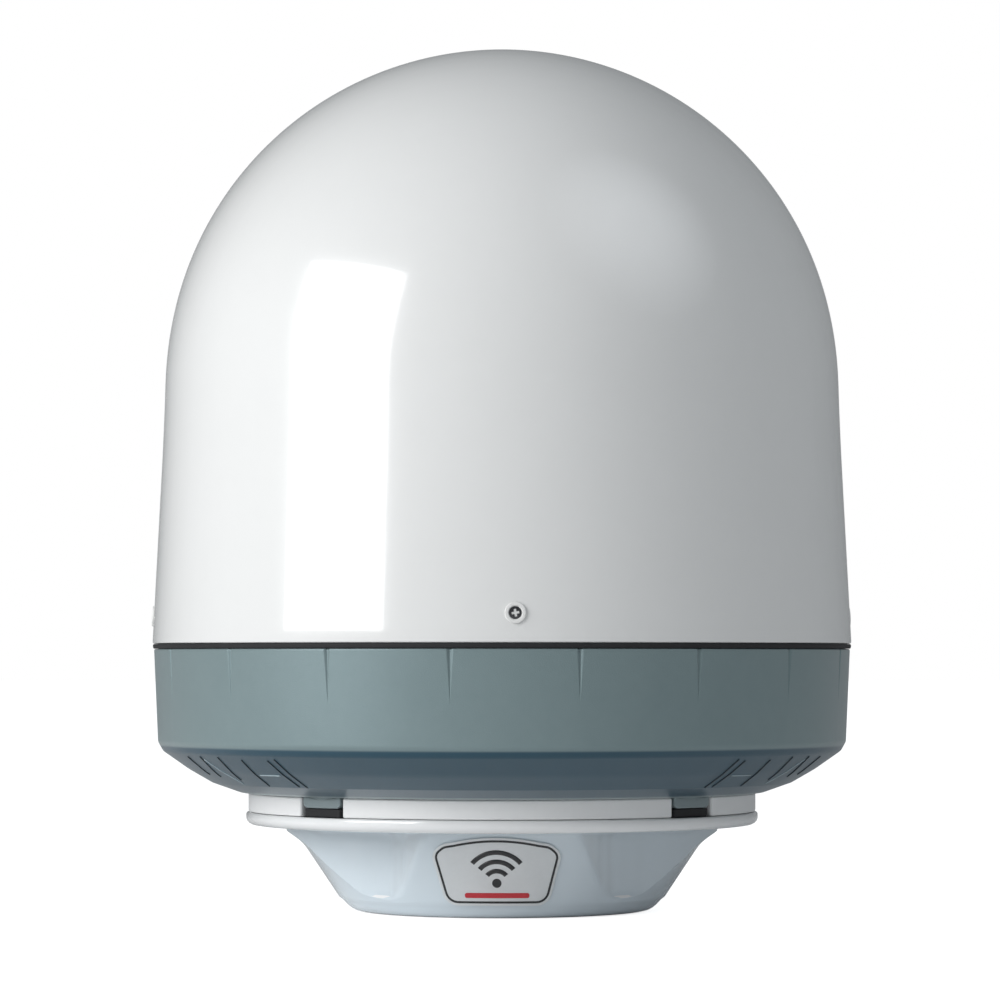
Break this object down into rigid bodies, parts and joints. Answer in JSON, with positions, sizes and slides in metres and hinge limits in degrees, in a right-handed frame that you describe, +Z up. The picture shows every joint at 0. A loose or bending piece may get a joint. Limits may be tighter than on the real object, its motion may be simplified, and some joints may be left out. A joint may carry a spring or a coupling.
{
  "type": "domed satellite antenna",
  "caption": "Tracking dish antenna under a white bullet-shaped radome with grey fluted base, bolted to a conical mounting pod.",
  "frame": {"origin": "centre of the mounting pod's flat underside", "axes": "+Z up through the dome's crown; the badge and one radome screw face -Y; +X is to the right seen from the front"},
  "size_m": [0.4972, 0.498, 0.6111],
  "materials": {
    "pod_white": "glossy gelcoat, cool white",
    "badge_silver": "satin silver plate with dark printed outline",
    "spacer_white": "moulded white nylon",
    "pad_rubber": "matt black rubber",
    "bolt_steel": "stainless steel",
    "pan_grey": "fine textured grey moulding",
    "gasket_rubber": "black foam rubber",
    "connector_steel": "nickel plated",
    "board_green": "solder mask green",
    "radome_white": "glossy white gelcoat",
    "cast_grey": "die cast, bead blasted",
    "gear_nylon": "natural nylon",
    "black_plastic": "black moulding",
    "gear_steel": "machined steel",
    "frame_aluminium": "machined and anodised",
    "bearing_steel": "ground steel",
    "wire_black": "black sleeving",
    "dish_white": "off-white powder coat",
    "feed_plastic": "cream dielectric",
    "weight_steel": "zinc plated bar"
  },
  "bodies": {
    "base": {"mounting_pod": "pod_white", "pod_badge": "badge_silver", "spacer_ring": "spacer_white", "rubber_pad_front_left": "pad_rubber", "rubber_pad_front_right": "pad_rubber", "rubber_pad_rear_right": "pad_rubber", "rubber_pad_rear_left": "pad_rubber", "mounting_bolt_front_left": "bolt_steel", "mounting_bolt_front_right": "bolt_steel", "mounting_bolt_rear_right": "bolt_steel", "mounting_bolt_rear_left": "bolt_steel", "base_pan": "pan_grey", "radome_gasket": "gasket_rubber", "power_connector": "connector_steel", "signal_connector_left": "connector_steel", "signal_connector_right": "connector_steel", "power_board": "board_green", "azimuth_post": "cast_grey", "azimuth_ring_gear": "gear_nylon", "rotary_joint_stator": "black_plastic"},
    "radome": {"radome_shell": "radome_white", "screw_cup_front": "radome_white", "screw_cup_right": "radome_white", "screw_cup_rear": "radome_white", "screw_cup_left": "radome_white", "radome_screw_front": "bolt_steel", "radome_screw_right": "bolt_steel", "radome_screw_rear": "bolt_steel", "radome_screw_left": "bolt_steel"},
    "azimuth_stage": {"turntable": "frame_aluminium", "azimuth_bearing_lower": "bearing_steel", "azimuth_bearing_upper": "bearing_steel", "azimuth_motor": "black_plastic", "control_board": "board_green", "rotary_joint_rotor": "black_plastic", "board_harness": "wire_black", "arm_left": "frame_aluminium", "arm_right": "frame_aluminium", "elevation_bearing_left": "bearing_steel", "elevation_bearing_right": "bearing_steel", "elevation_motor": "black_plastic", "elevation_encoder": "black_plastic"},
    "azimuth_drive": {"azimuth_pinion": "gear_steel"},
    "elevation_stage": {"elevation_cradle": "frame_aluminium", "reflector_dish": "dish_white", "dish_hub": "frame_aluminium", "feed_tube": "frame_aluminium", "feed_cone": "feed_plastic", "subreflector": "frame_aluminium", "elevation_sector_gear": "gear_nylon", "skew_motor": "black_plastic", "rate_sensor": "black_plastic", "balance_weight": "weight_steel"},
    "elevation_drive": {"elevation_pinion": "gear_steel"},
    "skew_stage": {"receiver": "cast_grey", "skew_gear": "gear_nylon"},
    "skew_drive": {"skew_pinion": "gear_steel"}
  },
  "joints": [
    {"name": "radome_lift", "type": "slide", "parent": "base", "child": "radome", "axis": [0, 0, 1], "range_m": [0, 0.45]},
    {"name": "azimuth", "type": "hinge", "parent": "base", "child": "azimuth_stage", "pos_m": [0, 0, 0.104], "axis": [0, 0, 1], "continuous": true},
    {"name": "azimuth_pinion_spin", "type": "hinge", "parent": "azimuth_stage", "child": "azimuth_drive", "pos_m": [-0.075, 0, 0.0946], "axis": [0, 0, 1], "continuous": true},
    {"name": "elevation", "type": "hinge", "parent": "azimuth_stage", "child": "elevation_stage", "pos_m": [0, 0, 0.3726], "axis": [-1, 0, 0], "range_deg": [-25, 35]},
    {"name": "elevation_pinion_spin", "type": "hinge", "parent": "azimuth_stage", "child": "elevation_drive", "pos_m": [0.1508, 0.05091, 0.32169], "axis": [-1, 0, 0], "range_deg": [-175, 125]},
    {"name": "skew", "type": "hinge", "parent": "elevation_stage", "child": "skew_stage", "pos_m": [0, 0.04596, 0.33403], "axis": [0, -0.766, 0.6428], "range_deg": [-80, 80]},
    {"name": "skew_pinion_spin", "type": "hinge", "parent": "elevation_stage", "child": "skew_drive", "pos_m": [0.048, 0.03639, 0.34207], "axis": [0, -0.766, 0.6428], "range_deg": [-240, 240]}
  ],
  "couplings": [
    {"joint": "azimuth_pinion_spin", "follows": "azimuth", "ratio": 4},
    {"joint": "elevation_pinion_spin", "follows": "elevation", "ratio": -5},
    {"joint": "skew_pinion_spin", "follows": "skew", "ratio": -3}
  ]
}
